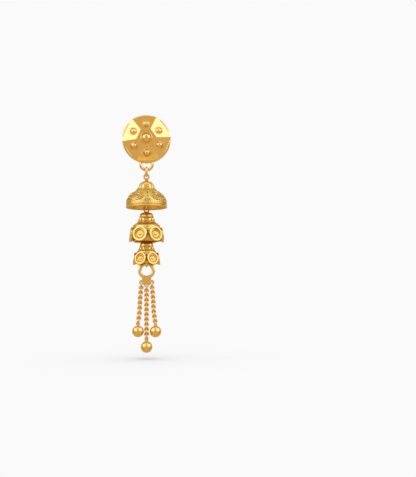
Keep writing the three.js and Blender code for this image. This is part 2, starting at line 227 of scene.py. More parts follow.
def finish(one, node, body, material, hangs=True):
    """Puts a piece into the frame. The pieces that hang are modelled on the Z axis."""
    settled(one)
    one.data.transform(Matrix.Translation((0, plumb if hangs else 0, 0)))
    one.data.transform(Matrix.Scale(MM, 4))
    one.name = "gold_" + node
    if not one.data.materials:
        one.data.materials.append(material)
    for i, filled in enumerate(one.data.materials):
        if filled is None:
            one.data.materials[i] = material
    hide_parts(node)
    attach(one, body)
    low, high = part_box(node)
    past = []
    for axis in range(3):
        along = [vertex.co[axis] for vertex in one.data.vertices]
        past.append(round(max(0, low[axis] - min(along), max(along) - high[axis]) / MM, 2))
    triangles = sum(len(face.vertices) - 2 for face in one.data.polygons)
    print(one.name, triangles, "triangles, past its node by", past, "mm")


# %% [markdown]
# Most pieces of a jhumka are turned or stamped round. A turned piece starts as one point, which
# is extruded along the outline and spun about the upright axis. The sides of a spun mesh meet in
# a seam, so its doubles are merged before the faces are turned outwards. Rings of wire start as
# a torus, and granules as a small ball.

# %% Turned shapes, rings, coins and grains
def turned(outline, steps=48, levels=0):
    """Spins an outline of (radius, height) about Z. It starts and ends on the axis, or closes."""
    bpy.ops.mesh.primitive_plane_add(size=1)
    one = bpy.context.object
    edit(one)
    bpy.ops.mesh.merge(type="CENTER")
    at = (0, 0)
    closed = outline[0] == outline[-1]
    for i, (radius, height) in enumerate(outline):
        step = (radius - at[0], 0, height - at[1])
        if i == 0:
            bpy.ops.transform.translate(value=step)
        else:
            bpy.ops.mesh.extrude_region_move(TRANSFORM_OT_translate={"value": step})
        at = (radius, height)
    bpy.ops.mesh.select_all(action="SELECT")
    if closed:
        bpy.ops.mesh.remove_doubles(threshold=1e-4)
    bpy.ops.mesh.spin(steps=steps, angle=2 * math.pi, center=(0, 0, 0), axis=(0, 0, 1))
    faces_out(one)
    if levels:
        rounded(one, levels)
    return smooth(one)


def smooth_line(points, steps=4):
    """A smooth line through the same points, by the Catmull-Rom formula."""
    out = []
    for i in range(len(points) - 1):
        p0 = Vector(points[max(i - 1, 0)])
        p1, p2 = Vector(points[i]), Vector(points[i + 1])
        p3 = Vector(points[min(i + 2, len(points) - 1)])
        for k in range(steps):
            t = k / steps
            out.append(tuple(
                0.5 * (2 * p1 + (p2 - p0) * t + (2 * p0 - 5 * p1 + 4 * p2 - p3) * t * t
                       + (3 * p1 - p0 - 3 * p2 + p3) * t ** 3)
            ))
    return out + [tuple(points[-1])]


def curved(outline, steps=4):
    """A rounder outline, which never crosses the axis."""
    return [(max(radius, 0), height) for radius, height in smooth_line(outline, steps)]


def wire_ring(radius, wire, sides=40, wire_sides=12, facing="FRONT", seam=True):
    """A round wire bent to a ring. The solder at its seam leaves it a little thicker there."""
    quarter = math.pi / 2
    turns = {"FRONT": (quarter, 0, 0), "SIDE": (quarter, 0, quarter), "FLAT": (0, 0, 0)}
    bpy.ops.mesh.primitive_torus_add(
        major_radius=radius, minor_radius=wire, major_segments=sides, minor_segments=wire_sides
    )
    one = bpy.context.object
    if seam:
        select_faces(one, lambda at, _: at.x > radius * 0.9 and abs(at.y) < wire * 0.5)
        bpy.ops.transform.resize(value=(1.03, 1, 1.05))
        bpy.ops.object.mode_set(mode="OBJECT")
    one.rotation_euler = turns[facing]
    settled(one)
    return smooth(one, 80)


def coin(x, z, radius, thickness, sides=48):
    """A round of sheet, or a pin when it is narrow and thick, that faces the front."""
    bpy.ops.mesh.primitive_cylinder_add(vertices=sides, radius=radius, depth=thickness)
    one = bpy.context.object
    one.rotation_euler = (math.pi / 2, 0, 0)
    one.location = (x, 0, z)
    return settled(one)


def grain(width, rise, height, detail=2):
    """A granule: a small ball of gold, drawn out to a drop and flattened where it is soldered."""
    bpy.ops.mesh.primitive_ico_sphere_add(subdivisions=detail, radius=1)
    one = bpy.context.object
    select_faces(one, lambda at, _: at.y > 0.3)
    bpy.ops.transform.resize(value=(0.9, 0.6, 0.9))
    bpy.ops.object.mode_set(mode="OBJECT")
    one.scale = (width, rise, height)
    settled(one)
    return smooth(one, 80)


# %% [markdown]
# Ribs are worked the way a punch works them: a ring of points is pulled in at every second one,
# extruded up through the outline, and the subdivision rounds each rib over.

# %% Ribbed shapes
RIB_SHEET = 0.12  # the thickness of the metal that the ribs are pressed in


def ribbed(outline, ribs, depth, levels=2):
    """A band of upright ribs around Z. Outline rows are (radius, height) from the bottom up."""
    bpy.ops.mesh.primitive_circle_add(vertices=2 * ribs, radius=outline[0][0], fill_type="NOTHING")
    one = bpy.context.object
    edit(one, everything=False)
    bpy.ops.object.mode_set(mode="OBJECT")
    for vertex in one.data.vertices:
        vertex.select = vertex.index % 2 == 0
    bpy.ops.object.mode_set(mode="EDIT")
    bpy.ops.transform.resize(value=(1 - depth, 1 - depth, 1))
    bpy.ops.mesh.select_all(action="SELECT")
    bpy.ops.transform.translate(value=(0, 0, outline[0][1]))
    for (r0, z0), (r1, z1) in zip(outline, outline[1:]):
        bpy.ops.mesh.extrude_region_move(TRANSFORM_OT_translate={"value": (0, 0, z1 - z0)})
        bpy.ops.transform.resize(value=(r1 / r0, r1 / r0, 1), center_override=(0, 0, z1))
    bpy.ops.object.mode_set(mode="OBJECT")
    rounded(one, levels)
    modifier(one, "SOLIDIFY", thickness=RIB_SHEET, offset=-1)
    return smooth(faces_out(one), 60)


# %% [markdown]
# ## Gold
# Twenty-two carat gold has almost no colour of its own beyond what it reflects, so each gold is
# made of three things: a warm metal colour, how finely the surface is polished, and a painted
# shade that darkens the recesses to orange, where the light would bounce from gold to gold. Every
# gold here shares the last two, so each is a node group with named sockets.

# %% A node group for the painted shade in recesses and one for the polish
def group(name, inputs, outputs):
    """An empty node group with the sockets named in the two lists."""
    made = bpy.data.node_groups.new(name, "ShaderNodeTree")
    for title, kind, value in inputs:
        socket = made.interface.new_socket(title, in_out="INPUT", socket_type=kind)
        socket.default_value = value
    for title, kind in outputs:
        made.interface.new_socket(title, in_out="OUTPUT", socket_type=kind)
    return made, made.nodes.new("NodeGroupInput"), made.nodes.new("NodeGroupOutput")


def add(tree, kind, **values):
    """Adds a node and sets its inputs and its settings by name."""
    node = tree.nodes.new(kind)
    for name, value in values.items():
        if name in node.inputs:
            node.inputs[name].default_value = value
        else:
            setattr(node, name, value)
    return node


def connect(tree, *rows):
    """Each row links a node's output to an input of the next node."""
    for node, output, following, socket in rows:
        tree.links.new(node.outputs[output], following.inputs[socket])


COLOUR, NUMBER = "NodeSocketColor", "NodeSocketFloat"
SHUT_IN, OPEN = 0.25, 0.95  # how open a place is where the painted recess shade is full, and where it ends
BLACK_GAP, LIT_GAP = 0.06, 0.34  # the same for the painted shade at the bottom of a gap

# Painted shade: ambient occlusion turns the base colour deep orange in the recesses and dark at the bottom
# of gaps, in place of light bouncing between walls of gold.
recess_shade_group, r_in, r_out = group(
    "painted_shade_in_recesses",
    [
        ("Gold", COLOUR, (1, 0.7, 0.3, 1)), ("Deep", COLOUR, (0.8, 0.35, 0.05, 1)),
        ("Dark", COLOUR, (0.1, 0.04, 0, 1)), ("Reach", NUMBER, 0.0005), ("Strength", NUMBER, 1.0),
    ],
    [("Colour", COLOUR)],
)
hollow = add(recess_shade_group, "ShaderNodeAmbientOcclusion", samples=8)
shade = add(recess_shade_group, "ShaderNodeMapRange", **{"From Min": SHUT_IN, "From Max": OPEN})
closed_in = add(recess_shade_group, "ShaderNodeMath", operation="SUBTRACT")
closed_in.inputs[0].default_value = 1
strength = add(recess_shade_group, "ShaderNodeMath", operation="MULTIPLY")
recess_shade_mix = add(recess_shade_group, "ShaderNodeMix", data_type="RGBA")
gap = add(recess_shade_group, "ShaderNodeMapRange", **{
    "From Min": BLACK_GAP, "From Max": LIT_GAP, "To Min": 1.0, "To Max": 0.0,
})
gap_strength = add(recess_shade_group, "ShaderNodeMath", operation="MULTIPLY")
gap_shade_mix = add(recess_shade_group, "ShaderNodeMix", data_type="RGBA")
connect(
    recess_shade_group,
    (r_in, "Reach", hollow, "Distance"),
    (hollow, "AO", shade, "Value"),
    (shade, "Result", closed_in, 1),
    (closed_in, 0, strength, 0),
    (r_in, "Strength", strength, 1),
    (strength, 0, recess_shade_mix, "Factor"),
    (r_in, "Gold", recess_shade_mix, "A"),
    (r_in, "Deep", recess_shade_mix, "B"),
    (hollow, "AO", gap, "Value"),
    (gap, "Result", gap_strength, 0),
    (r_in, "Strength", gap_strength, 1),
    (gap_strength, 0, gap_shade_mix, "Factor"),
    (recess_shade_mix, "Result", gap_shade_mix, "A"),
    (r_in, "Dark", gap_shade_mix, "B"),
    (gap_shade_mix, "Result", r_out, "Colour"),
)

polish, p_in, p_out = group(
    "polishing_marks",
    [
        ("Grain Size", NUMBER, 0.0002), ("Grain", NUMBER, 0.1), ("Waves", NUMBER, 0.0),
        ("Rough", NUMBER, 0.1), ("Unevenness", NUMBER, 0.05),
    ],
    [("Roughness", NUMBER), ("Height", NUMBER)],
)
on_piece = add(polish, "ShaderNodeTexCoord")
per_grain = add(polish, "ShaderNodeMath", operation="DIVIDE")
per_grain.inputs[0].default_value = 1
fine = add(polish, "ShaderNodeTexNoise", Detail=4.0, Roughness=0.65)
broad = add(polish, "ShaderNodeTexNoise", Scale=420.0, Detail=2.0)
centred = add(polish, "ShaderNodeMath", operation="SUBTRACT")
centred.inputs[1].default_value = 0.5
roughness = add(polish, "ShaderNodeMath", operation="MULTIPLY_ADD")
grain_height = add(polish, "ShaderNodeMath", operation="MULTIPLY")
wave_height = add(polish, "ShaderNodeMath", operation="MULTIPLY_ADD")
connect(
    polish,
    (p_in, "Grain Size", per_grain, 1),
    (per_grain, 0, fine, "Scale"),
    (on_piece, "Object", fine, "Vector"),
    (on_piece, "Object", broad, "Vector"),
    (broad, "Fac", centred, 0),
    (centred, 0, roughness, 0),
    (p_in, "Unevenness", roughness, 1),
    (p_in, "Rough", roughness, 2),
    (roughness, 0, p_out, "Roughness"),
    (fine, "Fac", grain_height, 0),
    (p_in, "Grain", grain_height, 1),
    (broad, "Fac", wave_height, 0),
    (p_in, "Waves", wave_height, 1),
    (grain_height, 0, wave_height, 2),
    (wave_height, 0, p_out, "Height"),
)
print("node groups:", [made.name for made in bpy.data.node_groups])

# %% [markdown]
# One function makes every gold, so the finishes differ only in their values: the colour, how rough
# and how uneven the polish is, the size and the share of its grain, the broad waves that a felt
# wheel leaves, the depth of both, and how far and how strongly the painted shade turns the
# recesses deep. The wheel reaches raised rims and ribs, a chased ground keeps the grain of its
# punches, and the inside of a hollow piece is left as it was soldered, with a painted orange glow.

# %% The golds
GOLD = (1.0, 0.71, 0.27, 1)  # a rich yellow gold, in linear light
CHASED_SHADED_COLOUR = (0.86, 0.71, 0.25, 1)  # yellower, and darker than GOLD: painted shade that tones down the panels' light on the chased ground
RAISED_SHEEN_COLOUR = (0.93, 0.75, 0.27, 1)  # yellower than GOLD on the raised rims and ribs: a painted sheen for the panel light they reflect
INSIDE_GLOW_COLOUR = (1.0, 0.64, 0.18, 1)  # painted glow: more orange inside a hollow piece, where gold lights gold
PAINTED_INSIDE_GLOW = (0.95, 0.44, 0.04, 1)  # painted glow: the deepest colour in there
RECESS_SHADE_GOLD = (0.72, 0.37, 0.06, 1)  # painted recess shade: what is left of the light after several bounces between walls of gold
GAP_SHADE_GOLD = (0.19, 0.09, 0.02, 1)  # painted shade at the bottom of a narrow gap


def gold(name, colour, deep, rough, uneven, grain_size, grain_share, waves, depth, reach, strength):
    """A gold. Sizes, depths and reach are in metres; roughness and shares run from 0 to 1."""
    material = bpy.data.materials.new(name)
    material.use_nodes = True
    tree = material.node_tree
    shader = tree.nodes["Principled BSDF"]
    shader.inputs["Metallic"].default_value = 1
    shader.inputs["IOR"].default_value = 1.45
    marks = add(
        tree, "ShaderNodeGroup", node_tree=polish,
        Rough=rough, Unevenness=uneven, Grain=grain_share, Waves=waves, **{"Grain Size": grain_size},
    )
    # Painted shade: the recess group darkens the base colour to orange in recesses and to dark in gaps.
    recesses = add(
        tree, "ShaderNodeGroup", node_tree=recess_shade_group,
        Gold=colour, Deep=deep, Dark=GAP_SHADE_GOLD, Reach=reach, Strength=strength,
    )
    relief = add(tree, "ShaderNodeBump", Strength=1.0, Distance=depth)
    connect(
        tree,
        (marks, "Roughness", shader, "Roughness"),
        (marks, "Height", relief, "Height"),
        (relief, "Normal", shader, "Normal"),
        (recesses, "Colour", shader, "Base Color"),
    )
    return material


mirror_gold = gold(
    "mirror_polished_gold", GOLD, RECESS_SHADE_GOLD, rough=0.14, uneven=0.08, grain_size=0.00045,
    grain_share=0.12, waves=2.0, depth=0.00002, reach=0.0006, strength=0.8,
)
# The chased ground's base colour is darker than GOLD: painted shade against the panels' light.
chased_gold = gold(
    "chased_ground_gold", CHASED_SHADED_COLOUR, RECESS_SHADE_GOLD, rough=0.24, uneven=0.12, grain_size=0.00014,
    grain_share=0.9, waves=0.0, depth=0.00006, reach=0.0007, strength=0.95,
)
bright_gold = gold(
    "burnished_gold", GOLD, RECESS_SHADE_GOLD, rough=0.24, uneven=0.12, grain_size=0.0003,
    grain_share=0.2, waves=1.0, depth=0.00002, reach=0.0008, strength=0.9,
)
# The raised rims' base colour is yellower than GOLD: a painted sheen for the panel light they reflect.
raised_gold = gold(
    "raised_gold", RAISED_SHEEN_COLOUR, RECESS_SHADE_GOLD, rough=0.24, uneven=0.12, grain_size=0.0003,
    grain_share=0.2, waves=1.0, depth=0.00002, reach=0.0008, strength=0.8,
)
wire_gold = gold(
    "drawn_wire_gold", GOLD, RECESS_SHADE_GOLD, rough=0.19, uneven=0.1, grain_size=0.0002,
    grain_share=0.2, waves=0.0, depth=0.00002, reach=0.0007, strength=1.0,
)
# The insides get an orange base colour and a deeper orange in their recesses: a painted glow for gold
# lighting gold.
inside_glow_gold = gold(
    "unpolished_inside_gold_painted_glow", INSIDE_GLOW_COLOUR, PAINTED_INSIDE_GLOW, rough=0.25, uneven=0.12, grain_size=0.0003,
    grain_share=0.4, waves=0.0, depth=0.00003, reach=0.001, strength=0.8,
)
made_golds = (mirror_gold, chased_gold, bright_gold, raised_gold, wire_gold, inside_glow_gold)
print("golds:", [made.name for made in made_golds])

# %% [markdown]
# ## The stud
# The stud is a stamped disc with six facets that slope down from a six-sided crown. Cutting is
# the honest way to make facets: a round blank is bisected by one plane per facet and each cut is
# filled. A narrow bevel on the creases catches a line of light, as a polished crease does.

# %% The faceted disc
_, STUD_RADIUS, _, _ = span("stud")
STUD_HEIGHT = 2.0  # from the flat back to the crown
RIM_HEIGHT = 0.9
EDGE = 0.27  # half the thickness of the rolled edge
CREASE = 0.09  # the width of the polished line along each crease
CROWN_REACH = 1.75  # from the centre to a side of the crown
FACETS = 6
FACET_TURN = 6.0  # degrees, the facets against the ring below
SLOPE = math.atan2(STUD_HEIGHT - RIM_HEIGHT, STUD_RADIUS - CROWN_REACH)

bpy.ops.mesh.primitive_cylinder_add(vertices=120, radius=STUD_RADIUS, depth=STUD_HEIGHT)
disc = bpy.context.object
disc.location = (0, 0, STUD_HEIGHT / 2)
settled(disc)
for i in range(FACETS):
    way = math.radians(90 + FACET_TURN + 360 * i / FACETS)
    out = Vector((math.cos(way), math.sin(way), 0))
    edit(disc)
    bpy.ops.mesh.bisect(
        plane_co=out * CROWN_REACH + Vector((0, 0, STUD_HEIGHT)),
        plane_no=out * math.sin(SLOPE) + Vector((0, 0, math.cos(SLOPE))),
        use_fill=True,
        clear_outer=True,
    )
    bpy.ops.object.mode_set(mode="OBJECT")
modifier(disc, "BEVEL", width=CREASE, segments=3, limit_method="ANGLE", angle_limit=math.radians(12))
modifier(disc, "WEIGHTED_NORMAL", keep_sharp=True)
rolled = wire_ring(STUD_RADIUS - EDGE, EDGE, 144, 18, facing="FLAT", seam=False)
rolled.location.z = RIM_HEIGHT - 0.08
settled(rolled)
print("disc:", len(disc.data.polygons), "faces, facets slope", round(math.degrees(SLOPE), 1), "degrees")

# %% [markdown]
# Each facet carries a boss: a wire ring with a bead set in it, and a ring of tiny granules round
# it. The crown has a larger boss inside a six-sided border of granules. The facets are made
# facing up, where angles are easy to think about, and the finished stud is then tipped forwards.

# %% Bosses and granules on the stud
def boss(radius, rise):
    """A rolled ring with a bead in it, standing on z = 0."""
    ring = wire_ring(radius * 0.9, radius * 0.1, facing="FLAT", seam=False)
    ring.location.z = rise * 0.12
    bead = turned(curved([
        (0, rise), (radius * 0.3, rise * 0.92), (radius * 0.54, rise * 0.7),
        (radius * 0.7, rise * 0.36), (radius * 0.76, 0), (0, -0.05),
    ]), 40)
    return fused("boss", [settled(ring), bead])


def on_facet(radius, turn):
    """A place on the sloping facets of the disc, for a shape that faces up."""
    height = RIM_HEIGHT + (STUD_RADIUS - radius) * math.tan(SLOPE)
    return (
        Matrix.Rotation(math.radians(90 + turn), 4, "Z")
        @ Matrix.Translation((radius, 0, height))
        @ Matrix.Rotation(SLOPE, 4, "Y")
    )


BOSS_PLACE = 3.0  # from the centre of the stud
BOSS_TURN = 2.0  # degrees, the bosses against the ring below
FACET_BOSS, CROWN_BOSS = (0.79, 0.46), (1.2, 0.62)  # radius and rise
GRANULE, TINY_GRANULE = 0.13, 0.07
PER_SIDE = 6  # granules along one side of the crown
ROUND_A_BOSS = 20
boss_places = [on_facet(BOSS_PLACE, BOSS_TURN + 360 * i / FACETS) for i in range(FACETS)]
facet_bosses = copies(boss(*FACET_BOSS), boss_places)
crown_boss = boss(*CROWN_BOSS)
crown_boss.location.z = STUD_HEIGHT - 0.04
corner = CROWN_REACH / math.cos(math.pi / FACETS) - 0.12
corners = []
for i in range(FACETS):
    way = math.radians(90 + FACET_TURN + (i + 0.5) * 360 / FACETS)
    corners.append(Vector((corner * math.cos(way), corner * math.sin(way), STUD_HEIGHT)))
border = arrayed(grain(GRANULE, GRANULE, GRANULE, 1), [
    Matrix.Translation(corners[i].lerp(corners[(i + 1) % FACETS], k / PER_SIDE))
    for i in range(FACETS)
    for k in range(PER_SIDE)
])
facet_rings = arrayed(grain(TINY_GRANULE, TINY_GRANULE, TINY_GRANULE, 1), [
    place @ Matrix.Rotation(math.tau * k / ROUND_A_BOSS, 4, "Z") @ Matrix.Translation((0.87, 0, 0.01))
    for place in boss_places
    for k in range(ROUND_A_BOSS)
])
face = fused("face", [disc, rolled, settled(crown_boss), border, facet_rings, *facet_bosses])
face.rotation_euler = (math.pi / 2, 0, 0)
settled(face)
print("stud's face:", len(facet_bosses) + 1, "bosses,", FACETS * (PER_SIDE + ROUND_A_BOSS), "granules")

# %% [markdown]
# Behind the disc is the ear post, with a rounded tip and a fine thread for its screw back. The
# ring that everything hangs from is soldered to the disc's lower edge.

# %% Post and ring of the stud
POST_RADIUS = 0.45
POST_LENGTH = 10.5
THREAD_PITCH = 0.35
THREAD_DEPTH = 0.035
THREAD_START = 3.2
PLAIN_TIP = 0.9
SEAT = 0.05  # how deep the post is set into the disc
post_line = [(0, -SEAT), (POST_RADIUS, -SEAT), (POST_RADIUS, THREAD_START)]
height = THREAD_START
while height < POST_LENGTH - PLAIN_TIP:
    post_line.append((POST_RADIUS - THREAD_DEPTH, height + THREAD_PITCH / 2))
    post_line.append((POST_RADIUS, height + THREAD_PITCH))
    height += THREAD_PITCH
post_line += [
    (POST_RADIUS * 0.92, POST_LENGTH - 0.25), (POST_RADIUS * 0.6, POST_LENGTH - 0.05), (0, POST_LENGTH),
]
post = turned(post_line, 24)
post.rotation_euler = (-math.pi / 2, 0, 0)
settled(post)

RING_RADIUS, RING_WIRE = 1.165, 0.3
RING_HEIGHT, SOLDER_HEIGHT = -5.2, -4.75  # from the post's axis
stud_ring = wire_ring(RING_RADIUS, RING_WIRE, 56, 18)
stud_ring.location = (0, plumb, RING_HEIGHT)
solder = grain(0.55, 0.34, 0.3)
solder.location = (0, plumb, SOLDER_HEIGHT)
stud = fused("stud", [face, post, settled(stud_ring), settled(solder)])
finish(stud, "stud", "stud", mirror_gold, hangs=False)

# %% [markdown]
# The screw back is a small turned nut with a milled edge. Milling is a band of fine upright ribs,
# so the same helper that makes the ribs of the cap and the collars makes it.

# %% Screw back
_, NUT_RADIUS, _, _ = span("screw_back")
nut_near, nut_far = (corner.y for corner in box_mm("screw_back"))
thick = nut_far - nut_near
BORE = POST_RADIUS + 0.08
MILLING_RIBS, MILLING_DEPTH = 44, 0.05
nut = turned([
    (BORE, 0), (NUT_RADIUS * 0.78, 0), (NUT_RADIUS * 0.9, 0.12), (NUT_RADIUS * 0.92, 0.4),
    (NUT_RADIUS * 0.92, thick - 0.5), (NUT_RADIUS * 0.88, thick - 0.2),
    (NUT_RADIUS * 0.6, thick - 0.06), (BORE + 0.25, thick), (BORE, thick - 0.1), (BORE, 0),
], 64)
milling = ribbed([
    (NUT_RADIUS * 0.93, 0.3), (NUT_RADIUS, 0.45), (NUT_RADIUS, thick - 0.6),
    (NUT_RADIUS * 0.93, thick - 0.42),
], MILLING_RIBS, MILLING_DEPTH, levels=1)
screw_back = fused("screw_back", [nut, milling])
screw_back.rotation_euler = (-math.pi / 2, 0, 0)
screw_back.location = (0, nut_near, 0)
finish(screw_back, "screw_back", "stud", mirror_gold, hangs=False)

# %% [markdown]
# ## The links
# Four soldered rings carry one tier from the next. Each stands edge-on to the viewer, with its
# wire through the eye above and the eye below. The frame gives their heights and their sizes, and
# the list below the radius of their wires.

# %% Links
LINK_WIRE = {"hanger_link": 0.23, "bell_link": 0.2, "middle_link": 0.19, "tassel_link": 0.2}
for name, wire in LINK_WIRE.items():
    middle, _, low, high = span(name)
    link = wire_ring((high - low) / 2 - wire, wire, 48, 16, facing="SIDE")
    link.location = (0, 0, middle.z)
    finish(link, name, name, wire_gold)

# %% [markdown]
# ## The bell
# The bell is a thin dome, chased all over. From the top down it has an eye on a short neck, a
# ribbed cap, a field with six rosettes and pierced columns of drops between them, two rows of
# slanted strokes, a row of granules and a rolled rim. The frame gives its foot and its top, and
# the sizes below share out the rest. A stem inside carries the eye that the next link hangs in.

# %% Places on a turned wall
def scaled(table, radius, top, height):
    """An outline from shares of a radius and a height, read from the top down."""
    return [(share * radius, top - drop * height) for share, drop in table]


def on_wall(outline, height):
    """The radius of an outline at a height, and its lean from upright in degrees."""
    for (r0, z0), (r1, z1) in zip(outline, outline[1:]):
        if z1 <= height <= z0 and z0 > z1:
            part = (z0 - height) / (z0 - z1)
            return r0 + (r1 - r0) * part, math.degrees(math.atan2(r1 - r0, z0 - z1))
    raise ValueError("the outline has no wall at this height")


def spread(shape, count, turn, outline, height):
    """Copies of a shape around a wall, each facing out along the wall's normal."""
    radius, lean = on_wall(outline, height)
    return arrayed(shape, list(around(count, turn, radius, height, lean)))


def tilted(shape, angle):
    """Turns a shape that faces the front about the line of sight, in degrees."""
    shape.rotation_euler = (0, math.radians(angle), 0)
    return settled(shape)


def cut_by(one, cutter):
    """Takes the cutter's shape out of a piece, and the cutter away."""
    modifier(one, "BOOLEAN", operation="DIFFERENCE", solver="EXACT", object=cutter)
    only(cutter)
    bpy.ops.object.delete()
    return one


def hanging_eye(height, ring, wire):
    """A ring that faces the front, with its middle at a height."""
    eye = wire_ring(ring, wire, 40, 14)
    eye.location.z = height
    return settled(eye)


# %% [markdown]
# The wall is one turned outline: down the outside, under the rim and up again inside. The
# piercings are pins that are subtracted from it, three in each of the six columns. A thin second
# skin lines the inside, because the gold in there is left unpolished and has a painted orange
# glow for the light that bounces between its walls.

# %% Body of the bell
_, BELL_RADIUS, bell_foot, bell_high = span("bell")
BELL_EYE, BELL_EYE_WIRE = 0.51, 0.18
BELL_CAP_RADIUS, BELL_CAP_HEIGHT = 1.8, 1.55
BELL_SHELL_HEIGHT = 3.8
BELL_NECK_RADIUS = 0.42
BELL_TURN = 4.0  # degrees, of the first column of drops from the front
BELL_INNER_EYE_RISE = 1.255  # of the inner eye's middle above the rim
STEM = 0.22

shell_top = bell_foot + BELL_SHELL_HEIGHT
bell_top = shell_top + BELL_CAP_HEIGHT
field = curved(scaled([
    (0.43, 0), (0.55, 0.1), (0.73, 0.26), (0.876, 0.47), (0.94, 0.66), (0.96, 0.78), (0.972, 0.82),
], BELL_RADIUS, shell_top, BELL_SHELL_HEIGHT), 5)
border = scaled([
    (0.985, 0.83), (0.985, 0.86), (0.96, 0.88), (0.965, 0.97),
], BELL_RADIUS, shell_top, BELL_SHELL_HEIGHT)
lining = curved(scaled([
    (0.91, 0.97), (0.85, 0.72), (0.78, 0.48), (0.62, 0.25), (0.34, 0.03), (0.1, -0.08),
], BELL_RADIUS, shell_top, BELL_SHELL_HEIGHT), 4)
shell = turned([(0, shell_top + 0.25), (0.3 * BELL_RADIUS, shell_top + 0.2), *field, *border, *lining,
                (0, shell_top + 0.1)], 96)

COLUMNS = 6
PIERCING = 0.13
holes = []
for drop, size in ((0.1, 1.0), (0.27, 1.15), (0.46, 1.0)):
    height = shell_top - drop * BELL_SHELL_HEIGHT
    radius, lean = on_wall(field, height)
    pin = coin(0, 0, PIERCING * size, thickness=1.6, sides=16)
    holes += copies(pin, list(around(COLUMNS, BELL_TURN, radius, height, lean)))
cut_by(shell, fused("piercings", holes))
smooth(shell, 35)
shell.data.materials.append(chased_gold)
# The lining carries the painted orange glow of the insides.
liner = turned([(r - 0.03, z - 0.02) for r, z in lining[1:-1]][:-1] + [(0.3, shell_top - 0.02)], 96)
liner.data.materials.append(inside_glow_gold)

cap_table = [(1, 1), (0.98, 0.78), (0.86, 0.43), (0.63, 0.13), (0.36, 0.02)]
cap = ribbed(
    [(share * BELL_CAP_RADIUS, bell_top - drop * BELL_CAP_HEIGHT) for share, drop in cap_table], 8, 0.17, 2
)
neck_top = bell_high - 2 * BELL_EYE - BELL_EYE_WIRE
cap.data.materials.append(bright_gold)
neck = turned([
    (0, neck_top + 0.04), (BELL_NECK_RADIUS * 0.8, neck_top), (BELL_NECK_RADIUS, neck_top - 0.12),
    (BELL_NECK_RADIUS * 0.8, neck_top - 0.24), (BELL_NECK_RADIUS * 0.72, bell_top + 0.2),
    (BELL_NECK_RADIUS, bell_top + 0.08), (0.75, bell_top - 0.04), (0.7, bell_top - 0.3), (0, bell_top - 0.3),
], 32)
rim = wire_ring(BELL_RADIUS - 0.14, 0.14, 128, 14, facing="FLAT", seam=False)
rim.location.z = bell_foot + 0.14
cap_wire = wire_ring(BELL_CAP_RADIUS + 0.02, 0.13, 80, 12, facing="FLAT", seam=False)
cap_wire.location.z = shell_top + 0.02
inner_eye_at = bell_foot + BELL_INNER_EYE_RISE
stem = turned([
    (0, bell_top - 0.2), (STEM, bell_top - 0.2), (STEM, inner_eye_at + 0.5),
    (STEM * 1.5, inner_eye_at + 0.42), (0, inner_eye_at + 0.4),
], 20)
bell_parts = [
    shell, liner, cap, neck, settled(rim), settled(cap_wire), stem,
    hanging_eye(bell_high - BELL_EYE - BELL_EYE_WIRE, BELL_EYE, BELL_EYE_WIRE),
    hanging_eye(inner_eye_at, 0.46, BELL_EYE_WIRE),
]
print("bell body: shell top", round(shell_top, 2), "cap top", round(bell_top, 2), "mm")

# %% [markdown]
# The ornament is made from four small shapes: a wire ring, a granule, a drawn-out drop and a
# stroke. Each stands on the wall along its normal, so the rows follow the dome.

# %% Ornament of the bell
def down(share):
    """A height on the shell, as a share of the way from its top to its foot."""
    return shell_top - share * BELL_SHELL_HEIGHT


def rosette(radius, petals=8):
    """A bead, a ring of petals and two wire rings, facing the front."""
    petal = grain(0.14 * radius, 0.12, 0.15 * radius)
    petal.location = (0, 0, 0.62 * radius)
    settled(petal)
    flower = arrayed(petal, [Matrix.Rotation(math.tau * i / petals, 4, "Y") for i in range(petals)])
    outer = wire_ring(0.88 * radius, 0.1, 44, 12, seam=False)
    outer.location.y = 0.07
    inner = wire_ring(0.42 * radius, 0.06, 32, 8, seam=False)
    inner.location.y = -0.04
    return fused("rosette", [
        flower, settled(outer), settled(inner), grain(0.34 * radius, 0.25, 0.34 * radius),
    ])


HALF_COLUMN = 180 / COLUMNS
ROSETTE_HEIGHT = down(0.36)
bell_parts.append(spread(rosette(0.98), COLUMNS, BELL_TURN + HALF_COLUMN, field, ROSETTE_HEIGHT))
arc = wire_ring(1.22, 0.07, 48, 8, seam=False)  # the lower part of it hangs under each rosette
select_faces(arc, lambda at, _: at.z > 0.35)
bpy.ops.mesh.delete(type="FACE")
bpy.ops.object.mode_set(mode="OBJECT")
arc.location.y = 0.1
bell_parts.append(spread(settled(arc), COLUMNS, BELL_TURN + HALF_COLUMN, field, ROSETTE_HEIGHT))
for drop, size in ((0.185, 0.85), (0.365, 1.0), (0.555, 1.1)):
    bead = grain(0.17 * size, 0.2, 0.25 * size)
    bell_parts.append(spread(bead, COLUMNS, BELL_TURN, field, down(drop)))
for angle in range(-75, 76, 25):
    stroke = grain(0.065, 0.12, 0.26, 1)
    stroke.location.z = -0.44
    bell_parts.append(spread(tilted(settled(stroke), angle), COLUMNS, BELL_TURN, field, down(0.6)))

STROKES, FOOT_GRANULES, TOP_GRANULES = 72, 108, 54
for row, (drop, slant) in enumerate(((0.68, 24), (0.76, -24))):
    stroke = tilted(grain(0.07, 0.13, 0.17, 1), slant)
    bell_parts.append(spread(stroke, STROKES, 180 * row / STROKES, field, down(drop)))
bell_parts.append(spread(grain(0.11, 0.11, 0.11, 1), FOOT_GRANULES, 0, border, down(0.92)))
bell_parts.append(spread(grain(0.1, 0.1, 0.1, 1), TOP_GRANULES, 0, field, down(0.02)))
bell = fused("bell", bell_parts)
finish(bell, "bell", "bell", chased_gold)

# %% [markdown]
# ## The drops with medallions
# The two drops are one design in two sizes, so one function builds both: a domed crown between
# fine rings, a ribbed collar, a shoulder, and a short drum that carries six round medallions.
# The tops of the medallions lean in. Between them the drum is pierced.

